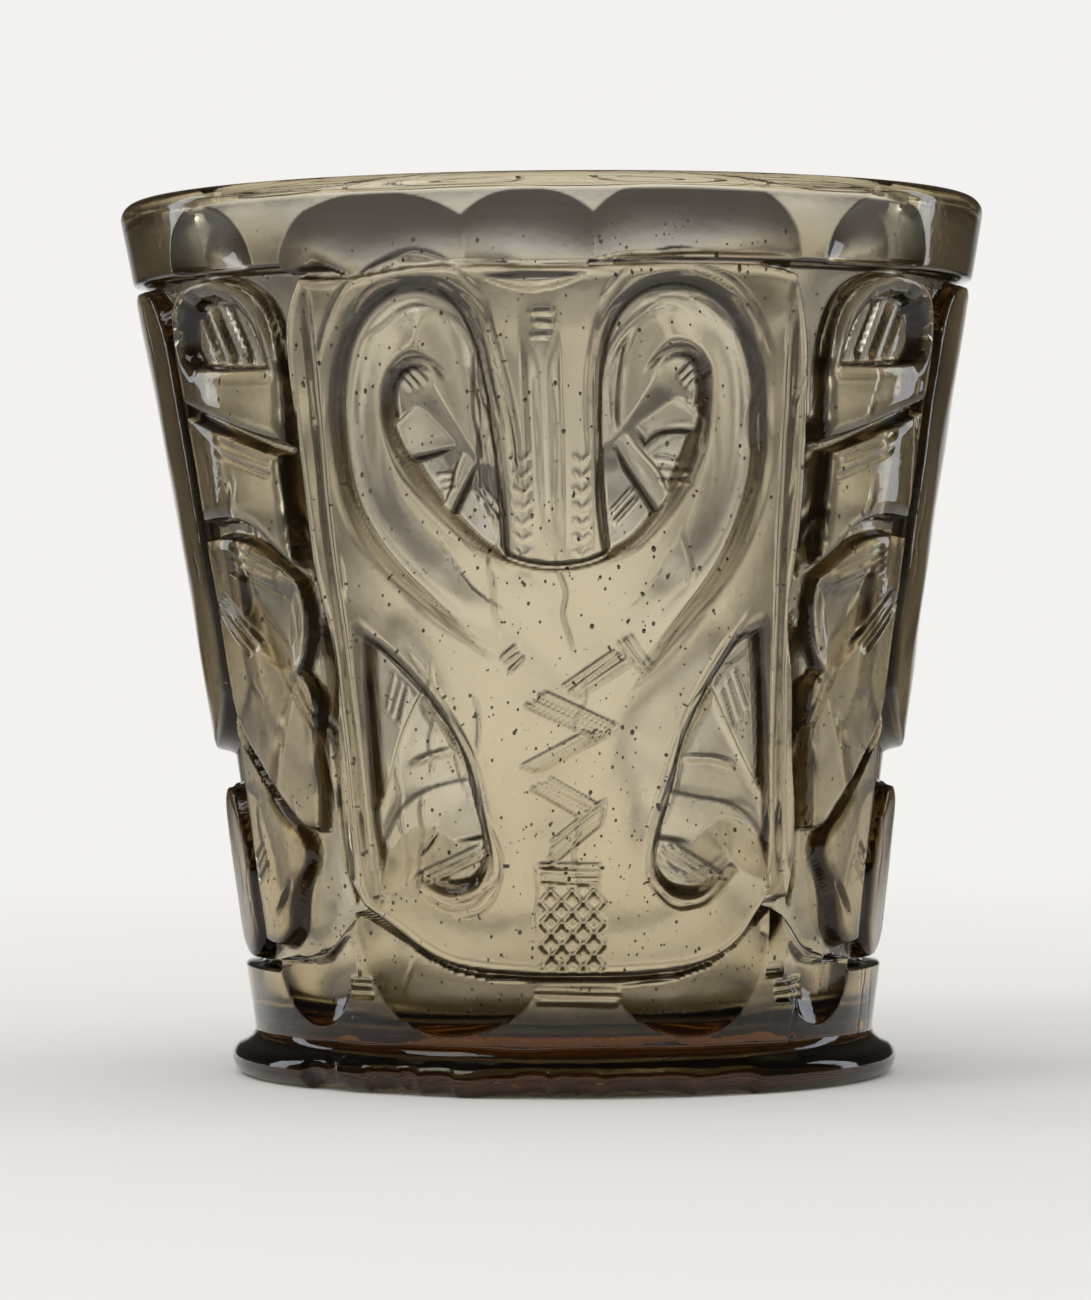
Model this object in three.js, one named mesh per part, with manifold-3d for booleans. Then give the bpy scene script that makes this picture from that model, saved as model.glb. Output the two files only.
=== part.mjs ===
// Relief-cut glass beaker: a flaring cup on a beaded foot, with carved figures standing on its wall.
// Millimetres, +Z up. The origin is on the axis, in the plane that the foot rests on, and the front faces -Y.
import * as THREE from "three";
import { mergeVertices } from "three/addons/utils/BufferGeometryUtils.js";
import { TessellateModifier } from "three/addons/modifiers/TessellateModifier.js";
import Module from "manifold-3d";

const wasm = await Module();
wasm.setup();

// Cup
const HEIGHT = 140;
const RIM_RADIUS = 69.5; // outside, just under the lip
const WALL_FOOT_RADIUS = 49.8; // outside, where the wall meets the foot
const WALL_BOW = 1.1; // how far the wall's outline bows in from a straight cone
const LIP_ROUND = 2.6;
const LIP_THICKNESS = 6.1;
const HEEL_THICKNESS = 8.3; // of the uncut wall where the bore's cone would meet the floor
const FLOOR_THICKNESS = 1.6; // above the foot
const FLOOR_FILLET = 6;
const RIM_BAND = 13; // left uncut under the lip
const BASE_BAND = 10.3; // left uncut above the foot

// Foot
const FOOT_HEIGHT = 7.5;
const FOOT_RADIUS = 53.5;
const FOOT_BEAD = 2.7; // radius of the bead round its edge
const RECESS_RADIUS = 39; // ground hollow underneath
const RECESS_DEPTH = 1.2;

// Relief
const RELIEF = 3.2; // how deep the wall is cut back round the figures
const CURL_DROP = 1.4; // how far the curls lie below the other figures
const LOW_RELIEF = 1.5; // how far the figures inside the windows stand out
const SHOULDER = 0.8; // bevel along the figures' edges
const SEAT_GAP = 0.3; // between a figure and the wall, and between neighbours
const SCALLOP_DEPTH = 2.2; // hollows cut into the rim band
const SCALLOP_HEIGHT = 10.5;
const NOTCH_DEPTH = 1.3; // hollows cut into the base band
const NOTCH_HEIGHT = 7.6;
const CUTTER_RADIUS = 9; // of the rounded wheel that cuts the hollows

// Fineness
const ROUND_STEPS = 60;
const FLATNESS = 0.15; // how far a drawn curve may stray from its straight pieces
const FACET = 9; // longest edge of a figure before it is wrapped round the wall
const UPRIGHT_SHARE = 0.25; // how much an edge's rise counts towards that length
const GRID = 1 / 128; // a plate's corners lie on this grid, so that its halved edges meet exactly

const reliefLow = FOOT_HEIGHT + BASE_BAND;
const reliefHigh = HEIGHT - RIM_BAND;
const radians = THREE.MathUtils.degToRad;

// Outside of the uncut wall at a height
function wallRadius(z) {
  const t = (z - FOOT_HEIGHT) / (HEIGHT - LIP_ROUND - FOOT_HEIGHT);
  return THREE.MathUtils.lerp(WALL_FOOT_RADIUS, RIM_RADIUS, t) - 4 * WALL_BOW * t * (1 - t);
}

// Solids and geometries

function positionsOnly(geometry) {
  const bare = geometry.clone();
  bare.deleteAttribute("normal");
  bare.deleteAttribute("uv");
  return mergeVertices(bare);
}

function toSolid(geometry) {
  const merged = positionsOnly(geometry);
  return new wasm.Manifold(
    new wasm.Mesh({
      numProp: 3,
      vertProperties: merged.attributes.position.array,
      triVerts: new Uint32Array(merged.index.array),
    }),
  );
}

function toGeometry(solid) {
  const mesh = solid.getMesh();
  return new THREE.BufferGeometry()
    .setAttribute("position", new THREE.BufferAttribute(mesh.vertProperties, 3))
    .setIndex(new THREE.BufferAttribute(mesh.triVerts, 1));
}

// A solid of revolution about +Z from [radius, height] points that start and end on the axis
function revolve(points) {
  const profile = points.map(([r, z]) => new THREE.Vector2(r, z));
  return new THREE.LatheGeometry(profile, ROUND_STEPS).rotateX(Math.PI / 2);
}

// Points along a circular arc in the profile plane, angles in degrees
function arc(centreR, centreZ, radius, from, to, steps) {
  return Array.from({ length: steps + 1 }, (_, i) => {
    const angle = radians(from + ((to - from) * i) / steps);
    return [centreR + radius * Math.cos(angle), centreZ + radius * Math.sin(angle)];
  });
}

// Points up or down the wall, `inset` inside its uncut surface
function alongWall(fromZ, toZ, inset, steps) {
  return Array.from({ length: steps + 1 }, (_, i) => {
    const z = THREE.MathUtils.lerp(fromZ, toZ, i / steps);
    return [wallRadius(z) - inset, z];
  });
}

// Cup and foot

function cupProfile() {
  const floor = FOOT_HEIGHT + FLOOR_THICKNESS;
  const lipZ = HEIGHT - LIP_ROUND;
  const boreRim = RIM_RADIUS - LIP_THICKNESS;
  const boreFloor = WALL_FOOT_RADIUS - HEEL_THICKNESS;
  const boreSlope = Math.atan2(boreRim - boreFloor, lipZ - floor);
  const filletR = boreFloor - FLOOR_FILLET * Math.tan((Math.PI / 2 - boreSlope) / 2);
  const slopeDegrees = THREE.MathUtils.radToDeg(boreSlope);
  return [
    [0, FOOT_HEIGHT],
    ...alongWall(FOOT_HEIGHT, reliefLow, 0, 2),
    ...alongWall(reliefLow, reliefHigh, RELIEF, 5),
    ...alongWall(reliefHigh, lipZ, 0, 2),
    ...arc(RIM_RADIUS - LIP_ROUND, lipZ, LIP_ROUND, 30, 90, 2),
    ...arc(boreRim + LIP_ROUND, lipZ, LIP_ROUND, 90, 180, 3),
    ...arc(filletR, floor + FLOOR_FILLET, FLOOR_FILLET, -slopeDegrees, -90, 3),
    [0, floor],
  ];
}

// A hollow left by a rounded wheel that sinks `depth` into the uncut wall at a height
function wheelCut(degrees, halfDegrees, z, halfHeight, depth) {
  const radius = wallRadius(z);
  const sunk = Math.sqrt(1 - (1 - depth / CUTTER_RADIUS) ** 2);
  const halfWidth = radius * Math.tan(radians(halfDegrees));
  const cutter = new THREE.SphereGeometry(1, 14, 8);
  cutter.scale(halfWidth / sunk, CUTTER_RADIUS, halfHeight / sunk);
  cutter.rotateX(Math.atan((wallRadius(z + halfHeight) - wallRadius(z - halfHeight)) / (2 * halfHeight)));
  cutter.translate(0, -(radius + CUTTER_RADIUS - depth), z);
  return toSolid(cutter.rotateZ(radians(degrees)));
}

// Centre and half width in degrees, and how high the hollow reaches as a share of the front right one
const SCALLOPS = [
  [-23, 13.5, 0.86],
  [-3, 10, 0.86],
  [18, 14, 1],
  [50, 11, 0.95],
  [90, 18, 0.9],
  [130, 11, 0.95],
  [158, 12, 1],
  [180, 12, 0.86],
  [202, 12, 1],
  [230, 11, 0.95],
  [270, 18, 0.9],
  [310, 11, 0.9],
];

const NOTCHES = [
  [-20, 15, 1],
  [23, 14, 1],
  [50, 9, 0.8],
  [130, 9, 0.8],
  [160, 15, 1],
  [203, 14, 1],
  [230, 9, 0.8],
  [310, 9, 0.8],
];

function cup() {
  let body = toSolid(revolve(cupProfile()));
  for (const [degrees, half, reach] of SCALLOPS) {
    body = body.subtract(wheelCut(degrees, half, reliefHigh, SCALLOP_HEIGHT * reach, SCALLOP_DEPTH));
  }
  for (const [degrees, half, reach] of NOTCHES) {
    body = body.subtract(wheelCut(degrees, half, reliefLow, NOTCH_HEIGHT * reach, NOTCH_DEPTH));
  }
  return toGeometry(body);
}

function foot() {
  const bead = FOOT_RADIUS - FOOT_BEAD;
  const coveZ = FOOT_HEIGHT - FOOT_BEAD * 0.75;
  return revolve([
    [0, RECESS_DEPTH],
    [RECESS_RADIUS - RECESS_DEPTH, RECESS_DEPTH],
    [RECESS_RADIUS, 0],
    [bead, 0],
    ...arc(bead, FOOT_BEAD, FOOT_BEAD, -60, 60, 3),
    [WALL_FOOT_RADIUS + FOOT_BEAD * 0.15, coveZ],
    [WALL_FOOT_RADIUS, FOOT_HEIGHT],
    [0, FOOT_HEIGHT],
  ]);
}

// The carving is drawn on a flat sheet that is wrapped round the wall.
// A drawn point is [degrees round from the front, hundredths of the height between the two bands].

const sheetRadius = wallRadius((reliefLow + reliefHigh) / 2);

function onSheet([degrees, hundredths]) {
  const z = THREE.MathUtils.lerp(reliefLow, reliefHigh, hundredths / 100);
  return new THREE.Vector2(radians(degrees) * sheetRadius, z);
}

// The points of a curve that are needed to keep it within the flatness
function thinned(points) {
  const chord = new THREE.Line3(
    new THREE.Vector3(...points[0], 0),
    new THREE.Vector3(...points.at(-1), 0),
  );
  const nearest = new THREE.Vector3();
  const strays = points.map((point) => {
    const place = new THREE.Vector3(...point, 0);
    return chord.closestPointToPoint(place, true, nearest).distanceTo(place);
  });
  const most = Math.max(...strays);
  if (most < FLATNESS) return [points[0], points.at(-1)];
  const at = strays.indexOf(most);
  return [...thinned(points.slice(0, at + 1)), ...thinned(points.slice(at)).slice(1)];
}

// A closed outline from runs of drawn points: each run is a smooth curve, and the runs meet at corners
function outline(...runs) {
  return runs.flatMap((run) => {
    const points = run.map(onSheet);
    if (points.length === 2) return [points[0]];
    const curve = new THREE.SplineCurve(points);
    return thinned(curve.getPoints(points.length * 8)).slice(0, -1);
  });
}

// An outline moved towards the glass on its left by a distance
function inset(points, distance) {
  const count = points.length;
  return points.map((point, i) => {
    const before = point.clone().sub(points[(i + count - 1) % count]).normalize();
    const after = points[(i + 1) % count].clone().sub(point).normalize();
    const left = new THREE.Vector2(-before.y - after.y, before.x + after.x).normalize();
    const cosHalf = Math.max(0.6, left.dot(new THREE.Vector2(-after.y, after.x)));
    return point.clone().addScaledVector(left, distance / cosHalf);
  });
}

function turned(points, clockwise) {
  return THREE.ShapeUtils.isClockWise(points) === clockwise ? points : [...points].reverse();
}

// Two caps and bevelled walls over an outline with holes, still flat: x and y on the sheet, z off the wall
function plate(outer, holes = [], top = RELIEF) {
  const contours = [turned(outer, false), ...holes.map((hole) => turned(hole, true))];
  const crowns = contours.map((contour) => inset(contour, SHOULDER));
  const corners = [];
  const snapped = (value) => Math.round(value / GRID) * GRID;
  const add = (point, height) => corners.push(snapped(point.x), snapped(point.y), snapped(height));
  const addQuad = (a, b, low, c, d, high) => {
    [[a, low], [b, low], [d, high], [a, low], [d, high], [c, high]].forEach(([p, h]) => add(p, h));
  };
  contours.forEach((contour, k) => {
    contour.forEach((point, i) => {
      const next = (i + 1) % contour.length;
      addQuad(point, contour[next], SEAT_GAP, point, contour[next], top - SHOULDER);
      addQuad(point, contour[next], top - SHOULDER, crowns[k][i], crowns[k][next], top);
    });
  });
  const [shape, ...gaps] = contours;
  const below = contours.flat();
  const above = crowns.flat();
  for (const face of THREE.ShapeUtils.triangulateShape(shape, gaps)) {
    const counter = THREE.ShapeUtils.area(face.map((i) => below[i])) > 0;
    const upward = counter ? face : [...face].reverse();
    upward.forEach((i) => add(above[i], top));
    [...upward].reverse().forEach((i) => add(below[i], SEAT_GAP));
  }
  return new THREE.BufferGeometry().setAttribute(
    "position",
    new THREE.Float32BufferAttribute(corners, 3),
  );
}

// Bends a flat plate round the wall, with its underside just off the cut-back surface
function wrap(flat) {
  flat.scale(1, UPRIGHT_SHARE, 1);
  const bent = new TessellateModifier(FACET, 40).modify(flat);
  bent.scale(1, 1 / UPRIGHT_SHARE, 1);
  const place = bent.attributes.position;
  for (let i = 0; i < place.count; i++) {
    const angle = place.getX(i) / sheetRadius;
    const z = place.getY(i);
    const radius = wallRadius(z) - RELIEF + place.getZ(i);
    place.setXYZ(i, radius * Math.sin(angle), -radius * Math.cos(angle), z);
  }
  return positionsOnly(bent);
}

// Panel: a stem that opens into two arms, framed by columns, with a window inside each loop

const LEFT_LOOP = [
  [-7.2, 58.6], [-7.6, 70], [-8.2, 77], [-9.3, 86], [-11.2, 92], [-14, 95.4], [-18.5, 96.8],
  [-23.5, 95.4], [-28, 91.2], [-30.8, 85], [-32, 76], [-31.4, 69],
];
const RIGHT_LOOP = [
  [7.2, 59], [6.3, 66], [5.8, 74], [5.7, 80], [6.1, 86.5], [7.6, 91.6], [10.8, 95.4], [16.5, 97.1],
  [22, 95.4], [26, 91.6], [28.6, 86], [29.6, 79], [30, 72], [29.5, 68],
];
const LEFT_ARM = [[-22, 73.3], [-19.8, 69.5], [-17, 66], [-14, 62.9], [-10.8, 60.2], [-7.2, 58.6]];
const RIGHT_ARM = [[20.4, 75], [19, 71.2], [16.8, 67], [14, 63.2], [10.8, 60.4], [7.2, 59]];
const LEFT_EYE = [[-14.5, 83.5], [-16.4, 85.6], [-19, 86.2], [-22.4, 84.6], [-24, 81], [-22, 73.3]];
const RIGHT_EYE = [[12.5, 84.5], [14.6, 86.7], [17, 87.6], [20, 86.6], [21.3, 83.5], [20.4, 75]];

const PANEL_EDGE = [
  [
    [-36, 10], [-38.6, 14], [-38.6, 30], [-37.8, 50], [-38.9, 57], [-39.2, 75], [-39.3, 86], [-38, 94],
    [-35.5, 98.3],
  ],
  [
    [-35.5, 98.3], [-29, 97.9], [-20, 99], [-10, 99.3], [0, 98.8], [8, 99.2], [18, 99.5], [28, 99.4],
    [34, 98.3],
  ],
  [[34, 98.3], [36.5, 90], [37.8, 79], [38.1, 58], [37.6, 53], [39, 44], [41, 30], [43, 16], [42, 11]],
  [
    [42, 11], [37.5, 10.6], [33, 6.2], [27, 2.8], [18, 1.2], [8, 0.8], [-5, 0.9], [-14, 1.3], [-21, 2.5],
    [-29, 6.3], [-36, 10],
  ],
];

const LEFT_WINDOW = [
  [
    [-31.4, 48.7], [-27, 45.6], [-23.5, 42.4], [-18, 36.2], [-15.4, 31.2], [-13.4, 23.5], [-12.5, 17.2],
    [-15.6, 13.6], [-19.6, 13.4], [-24, 15.2],
  ],
  [[-24, 15.2], [-27.5, 12.6], [-31.2, 11.6]],
  [[-31.2, 11.6], [-31.4, 48.7]],
];
const RIGHT_WINDOW = [
  [
    [32.8, 49.6], [29, 47.8], [26, 44.2], [21, 36], [18.6, 28.5], [16.2, 20.4], [15.8, 15.6], [19, 12.7],
    [24, 12.5], [29, 16.2],
  ],
  [[29, 16.2], [33, 14], [37, 12.6]],
  [[37, 12.6], [35, 33], [32.8, 49.6]],
];

function panel() {
  const leftHole = outline(LEFT_LOOP, [LEFT_LOOP.at(-1), LEFT_ARM[0]], LEFT_ARM);
  const rightHole = outline(RIGHT_LOOP, [RIGHT_LOOP.at(-1), RIGHT_ARM[0]], RIGHT_ARM);
  const windows = [outline(...LEFT_WINDOW), outline(...RIGHT_WINDOW)];
  return plate(outline(...PANEL_EDGE), [leftHole, rightHole, ...windows]);
}

const CURL_TIP = 1; // how far a curl's rounded end hangs below its eye

// A curl lies lower inside its loop and rolls round the loop's eye
function curl(loop, eye, startsAt) {
  const rim = loop.slice(startsAt);
  const tip = [(eye[0][0] + rim[0][0]) / 2, eye[0][1] - CURL_TIP];
  const edge = outline(rim, [rim.at(-1), eye.at(-1)], [...eye].reverse(), [eye[0], tip, rim[0]]);
  return plate(inset(turned(edge, false), SEAT_GAP), [], RELIEF - CURL_DROP);
}

// Low figures inside the windows
const LEFT_LOW_FIGURES = {
  eye_lobe: [
    [[-15, 81.6], [-17, 80.9], [-19, 79.9], [-21.2, 78.3], [-22.4, 76.8]],
    [[-22.4, 76.8], [-21.2, 73.6]],
    [[-21.2, 73.6], [-19, 74], [-16.3, 74.5], [-14.3, 75]],
    [[-14.3, 75], [-12.2, 76.6], [-10.4, 79.4], [-9.8, 81.4]],
    [[-9.8, 81.4], [-15, 81.6]],
  ],
  eye_strut: [
    [[-9.2, 76.4], [-11, 72.6], [-13.4, 68.6], [-14.9, 66]],
    [[-14.9, 66], [-16.4, 67]],
    [[-16.4, 67], [-15.1, 71], [-13.4, 74.3], [-11.6, 76]],
    [[-11.6, 76], [-9.2, 76.4]],
  ],
  window_leaf: [
    [[-24.6, 38.6], [-26.3, 35.2], [-28.6, 30], [-30.6, 25.6]],
    [[-30.6, 25.6], [-26.5, 26.8], [-21.7, 28.2], [-15.6, 29.4]],
    [[-15.6, 29.4], [-16.4, 31.6], [-19, 36], [-22.4, 40]],
    [[-22.4, 40], [-24.6, 38.6]],
  ],
  window_lobe: [
    [[-30.7, 20.6], [-28.4, 23.2], [-25.6, 25.4], [-21.7, 26.9], [-15.4, 28]],
    [[-15.4, 28], [-14.5, 24], [-13.9, 20.6]],
    [[-13.9, 20.6], [-18.4, 19.4], [-20.9, 18.6], [-23.4, 17.2], [-25.4, 15.4]],
    [[-25.4, 15.4], [-28.4, 14.2], [-30.6, 13.6]],
    [[-30.6, 13.6], [-30.7, 20.6]],
  ],
};
const RIGHT_LOW_FIGURES = {
  eye_lobe: [
    [[14.4, 81.8], [16.3, 81], [18.4, 79.8], [20.2, 78.4]],
    [[20.2, 78.4], [19.8, 76.4]],
    [[19.8, 76.4], [16.6, 76.6], [14.4, 76], [13, 74.9]],
    [[13, 74.9], [10.6, 77.4], [8.4, 79.8], [7.4, 81.8]],
    [[7.4, 81.8], [14.4, 81.8]],
  ],
  eye_strut: [
    [[7.7, 75.2], [10, 71.6], [12.6, 68], [14.2, 65.8]],
    [[14.2, 65.8], [15.6, 67.2]],
    [[15.6, 67.2], [14.2, 71], [12, 73.8], [9.6, 76.6]],
    [[9.6, 76.6], [7.7, 75.2]],
  ],
  window_leaf: [
    [[26.6, 39], [29.3, 34.9], [32.2, 30.8], [34.4, 27.6]],
    [[34.4, 27.6], [29.6, 26.8], [23.5, 27.2], [19.2, 28.2]],
    [[19.2, 28.2], [20.2, 31], [22.2, 36], [24.5, 40]],
    [[24.5, 40], [26.6, 39]],
  ],
  window_lobe: [
    [[18.9, 26.4], [23.5, 25.4], [29.6, 24.8], [33.2, 23], [35.4, 20]],
    [[35.4, 20], [36, 14.6]],
    [[36, 14.6], [33.4, 15.4], [29.8, 17.6]],
    [[29.8, 17.6], [24.5, 19.2], [20.2, 20.4], [17.3, 20.8]],
    [[17.3, 20.8], [18.9, 26.4]],
  ],
};

// Flank figures, drawn for the right of a panel: an animal's crest with a window in it, its chest and its body
const CREST = [
  [[41.6, 75.4], [46.8, 76.5], [52, 77.9], [57, 79.3], [66, 81.6]],
  [[66, 81.6], [66, 90]],
  [
    [66, 90], [64.8, 94.2], [61, 97.6], [55, 98.8], [48, 98.4], [43, 95.8], [40.8, 91], [40.4, 84],
    [41.6, 75.4],
  ],
];
const CHEST = [
  [[42.6, 73.8], [42.6, 58]],
  [[42.6, 58], [46.8, 60.6], [49.6, 62.8], [54.2, 64.6], [60, 65], [66, 64.6]],
  [[66, 64.6], [66, 80.2]],
  [[66, 80.2], [57, 77.9], [52, 76.5], [47, 75], [42.6, 73.8]],
];
const BODY = [
  [[66, 62.2], [60, 62.6], [54.2, 62], [49.6, 60.4], [46.8, 58.8], [42.4, 56.4]],
  [[42.4, 56.4], [41.4, 52.4], [42.7, 46.6], [45.6, 42]],
  [[45.6, 42], [50.5, 33], [55, 25.5]],
  [[55, 25.5], [52, 22.8], [48.4, 19.8], [47.6, 17.3], [51.3, 12.9], [54.6, 6.2]],
  [[54.6, 6.2], [58, 4.2], [66, 4]],
  [[66, 4], [66, 62.2]],
];
const CREST_EYE = [
  [[43, 85.4], [52, 85.7], [60.5, 86.3]],
  [
    [60.5, 86.3], [63.2, 89], [62.3, 92.8], [59, 95.6], [54.3, 96.8], [49.5, 95.9], [45.3, 92.4],
    [43, 85.4],
  ],
];
const SPANDREL = [
  [[37, 9.2], [40.6, 6.8], [45, 4], [51, 2.8]],
  [[51, 2.8], [51, 0.5]],
  [[51, 0.5], [28.5, 0.5]],
  [[28.5, 0.5], [28.5, 2.8]],
  [[28.5, 2.8], [32.5, 4.8], [37, 9.2]],
];

// The panel's right column leans out at its foot and pushes its flank aside, but not the flank's far edge
const COLUMN_LEAN = 4;
const LEAN_TOP = 57;
const FLANK_NEAR = 40;
const FLANK_FAR = 66;

function leaned(degrees, height) {
  const low = Math.max(0, 1 - height / LEAN_TOP);
  return degrees + COLUMN_LEAN * low * ((FLANK_FAR - degrees) / (FLANK_FAR - FLANK_NEAR));
}

// Side figures, drawn round the middle of the right side
const SHIELD = [
  [[67.5, 40], [67.4, 88]],
  [
    [67.4, 88], [68.6, 94], [73, 97.8], [81, 98.8], [90, 99], [99, 98.7], [107, 97.6], [111.6, 93.8],
    [112.6, 88],
  ],
  [[112.6, 88], [112.5, 41]],
  [[112.5, 41], [106, 35], [98, 32.2], [89, 31.2], [80, 32], [73, 34.6], [67.5, 40]],
];
const SIDE_LOBE = [
  [
    [68.5, 6], [72, 2.2], [80, 1.4], [86, 4.5], [88, 11], [85.5, 20], [79.5, 26], [73, 25], [69, 17],
    [68.5, 6],
  ],
];

// The same runs on another part of the sheet
function moved(runs, place) {
  return runs.map((run) => run.map(([degrees, height]) => [place(degrees, height), height]));
}

// Assembly

const beaker = new THREE.Group();
const GLASS = { color: 0xa69673, roughness: 0.08, metalness: 0, transparent: true, opacity: 0.6 };

function addPiece(name, geometry) {
  const mesh = new THREE.Mesh(geometry, new THREE.MeshStandardMaterial(GLASS));
  mesh.name = name;
  beaker.add(mesh);
}

function addFigure(name, flat, turn = 0) {
  addPiece(name, wrap(flat).rotateZ(turn));
}

addPiece("cup", cup());
addPiece("foot", foot());

// The back repeats the front
const FACES = { front: 0, back: Math.PI };
const SIDES = { left: -1, right: 1 };
const SIDE_PLACES = { left: (degrees) => -degrees, right: leaned };

for (const [face, turn] of Object.entries(FACES)) {
  addFigure(`${face}_panel`, panel(), turn);
  addFigure(`${face}_left_curl`, curl(LEFT_LOOP, LEFT_EYE, 3), turn);
  addFigure(`${face}_right_curl`, curl(RIGHT_LOOP, RIGHT_EYE, 4), turn);
  for (const [side, place] of Object.entries(SIDE_PLACES)) {
    const drawn = (runs) => outline(...moved(runs, place));
    addFigure(`${face}_${side}_crest`, plate(drawn(CREST), [drawn(CREST_EYE)]), turn);
    addFigure(`${face}_${side}_chest`, plate(drawn(CHEST)), turn);
    addFigure(`${face}_${side}_body`, plate(drawn(BODY)), turn);
    addFigure(`${face}_${side}_spandrel`, plate(drawn(SPANDREL)), turn);
  }
}

for (const [side, sign] of Object.entries(SIDES)) {
  const drawn = (runs) => outline(...moved(runs, (degrees) => sign * degrees));
  addFigure(`${side}_shield`, plate(drawn(SHIELD)));
  addFigure(`${side}_front_lobe`, plate(drawn(SIDE_LOBE)));
  addFigure(`${side}_back_lobe`, plate(outline(...moved(SIDE_LOBE, (degrees) => sign * (180 - degrees)))));
  const lowFigures = side === "left" ? LEFT_LOW_FIGURES : RIGHT_LOW_FIGURES;
  for (const [name, runs] of Object.entries(lowFigures)) {
    addFigure(`front_${side}_${name}`, plate(outline(...runs), [], LOW_RELIEF));
  }
}

export default beaker;
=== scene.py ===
import math

import bmesh
import bpy
import numpy as np
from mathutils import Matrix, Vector

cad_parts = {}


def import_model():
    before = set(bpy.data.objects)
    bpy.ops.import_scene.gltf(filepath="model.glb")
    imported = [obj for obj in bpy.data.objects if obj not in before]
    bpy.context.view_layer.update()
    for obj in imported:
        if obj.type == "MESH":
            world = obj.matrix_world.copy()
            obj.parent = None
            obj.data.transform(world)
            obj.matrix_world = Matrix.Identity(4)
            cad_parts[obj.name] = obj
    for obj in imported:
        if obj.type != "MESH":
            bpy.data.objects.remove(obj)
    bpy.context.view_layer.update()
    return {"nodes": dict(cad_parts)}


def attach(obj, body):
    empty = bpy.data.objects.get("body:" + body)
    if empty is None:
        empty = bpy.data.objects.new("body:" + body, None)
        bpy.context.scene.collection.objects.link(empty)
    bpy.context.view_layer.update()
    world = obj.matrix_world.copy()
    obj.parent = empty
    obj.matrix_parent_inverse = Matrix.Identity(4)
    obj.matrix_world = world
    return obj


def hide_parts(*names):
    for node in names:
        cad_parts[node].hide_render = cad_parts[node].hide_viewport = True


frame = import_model()

# Sizes in millimetres, as in the CAD part, and the carving's own depths and widths
HEIGHT = 140.0
RIM_RADIUS = 69.5
WALL_FOOT_RADIUS = 49.8
WALL_BOW = 1.1
LIP_ROUND = 2.6
LIP_THICKNESS = 6.1
HEEL_THICKNESS = 8.3
FLOOR_THICKNESS = 1.6
FLOOR_FILLET = 6.0
FOOT_HEIGHT = 7.5
FOOT_RADIUS = 53.5
FOOT_BEAD = 2.7
RECESS_RADIUS = 39.0
RECESS_DEPTH = 1.2
RIM_BAND = 13.0
BASE_BAND = 10.3
RELIEF = 3.2
CURL_DROP = 1.8
LOW_RELIEF = 1.5
LOBE_RELIEF = 1.0
WINDOW_WALL = 1.3
WINDOW_SHOULDER = 0.7
SILL_WIDTH = 11.0
HATCH_WIDTH = 0.85
HATCH_DEPTH = 0.42

# How fine the glass surface is
COLUMN_BANDS = [
    (-90, -45, 0.5), (-45, -14, 0.33), (-14, 14, 0.25), (14, 45, 0.33), (45, 90, 0.5), (90, 270, 0.6),
]
ROW_STEP = 0.35
LINE_STEP = 1.2

# Hand-made unevenness
LEAN = 2.1  # the rim stands this far to the left of the foot
TILT = 0.009  # the rim's right side is higher
WAVES = 0.07
BORE_WAVES = 0.16

MM = 0.001
LIP_Z = HEIGHT - LIP_ROUND
FLOOR_Z = FOOT_HEIGHT + FLOOR_THICKNESS
RELIEF_LOW = FOOT_HEIGHT + BASE_BAND
RELIEF_HIGH = HEIGHT - RIM_BAND
BORE_RIM = RIM_RADIUS - LIP_THICKNESS
BORE_FLOOR = WALL_FOOT_RADIUS - HEEL_THICKNESS
SHEET_RADIUS = 58.0
rng = np.random.default_rng(7)


def wall_radius(z):
    """Outside of the uncut wall at a height."""
    t = (z - FOOT_HEIGHT) / (LIP_Z - FOOT_HEIGHT)
    return WALL_FOOT_RADIUS + (RIM_RADIUS - WALL_FOOT_RADIUS) * t - 4 * WALL_BOW * t * (1 - t)


def bore_radius(z):
    return BORE_FLOOR + (BORE_RIM - BORE_FLOOR) * (z - FLOOR_Z) / (LIP_Z - FLOOR_Z)


def ease(x):
    x = np.clip(x, 0, 1)
    return x * x * (3 - 2 * x)


# The carving is a map of how deep the wall is cut, over degrees round from the front and height

ANGLES = np.concatenate([
    np.linspace(low, high, round((high - low) / step), endpoint=False) for low, high, step in COLUMN_BANDS
])
HEIGHTS = np.linspace(FOOT_HEIGHT, LIP_Z, round((LIP_Z - FOOT_HEIGHT) / ROW_STEP))
depth = np.zeros((len(HEIGHTS), len(ANGLES)))
# Painted shade in the cuts: how dark each place of the map is painted, where shade falls in slots, grooves
# and the facet.
painted_cut_shade = np.zeros(depth.shape)


def on_sheet(points):
    """Drawn points, [degrees, hundredths of the carved height], as millimetres on the unrolled wall."""
    drawn = np.array(points, float)
    height = RELIEF_LOW + (RELIEF_HIGH - RELIEF_LOW) * drawn[:, 1] / 100
    return np.column_stack([np.radians(drawn[:, 0]) * SHEET_RADIUS, height])


def spline(t, y, at):
    """A natural cubic through (t, y), read at other places."""
    h = np.diff(t)
    matrix = np.eye(len(t))
    right = np.zeros(len(t))
    for i in range(1, len(t) - 1):
        matrix[i, i - 1 : i + 2] = h[i - 1], 2 * (h[i - 1] + h[i]), h[i]
        right[i] = 6 * ((y[i + 1] - y[i]) / h[i] - (y[i] - y[i - 1]) / h[i - 1])
    bend = np.linalg.solve(matrix, right)
    i = np.clip(np.searchsorted(t, at) - 1, 0, len(t) - 2)
    after, before, step = t[i + 1] - at, at - t[i], h[i]
    curved = (bend[i] * after**3 + bend[i + 1] * before**3) / (6 * step)
    low = (y[i] / step - bend[i] * step / 6) * after
    high = (y[i + 1] / step - bend[i + 1] * step / 6) * before
    return curved + low + high


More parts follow.
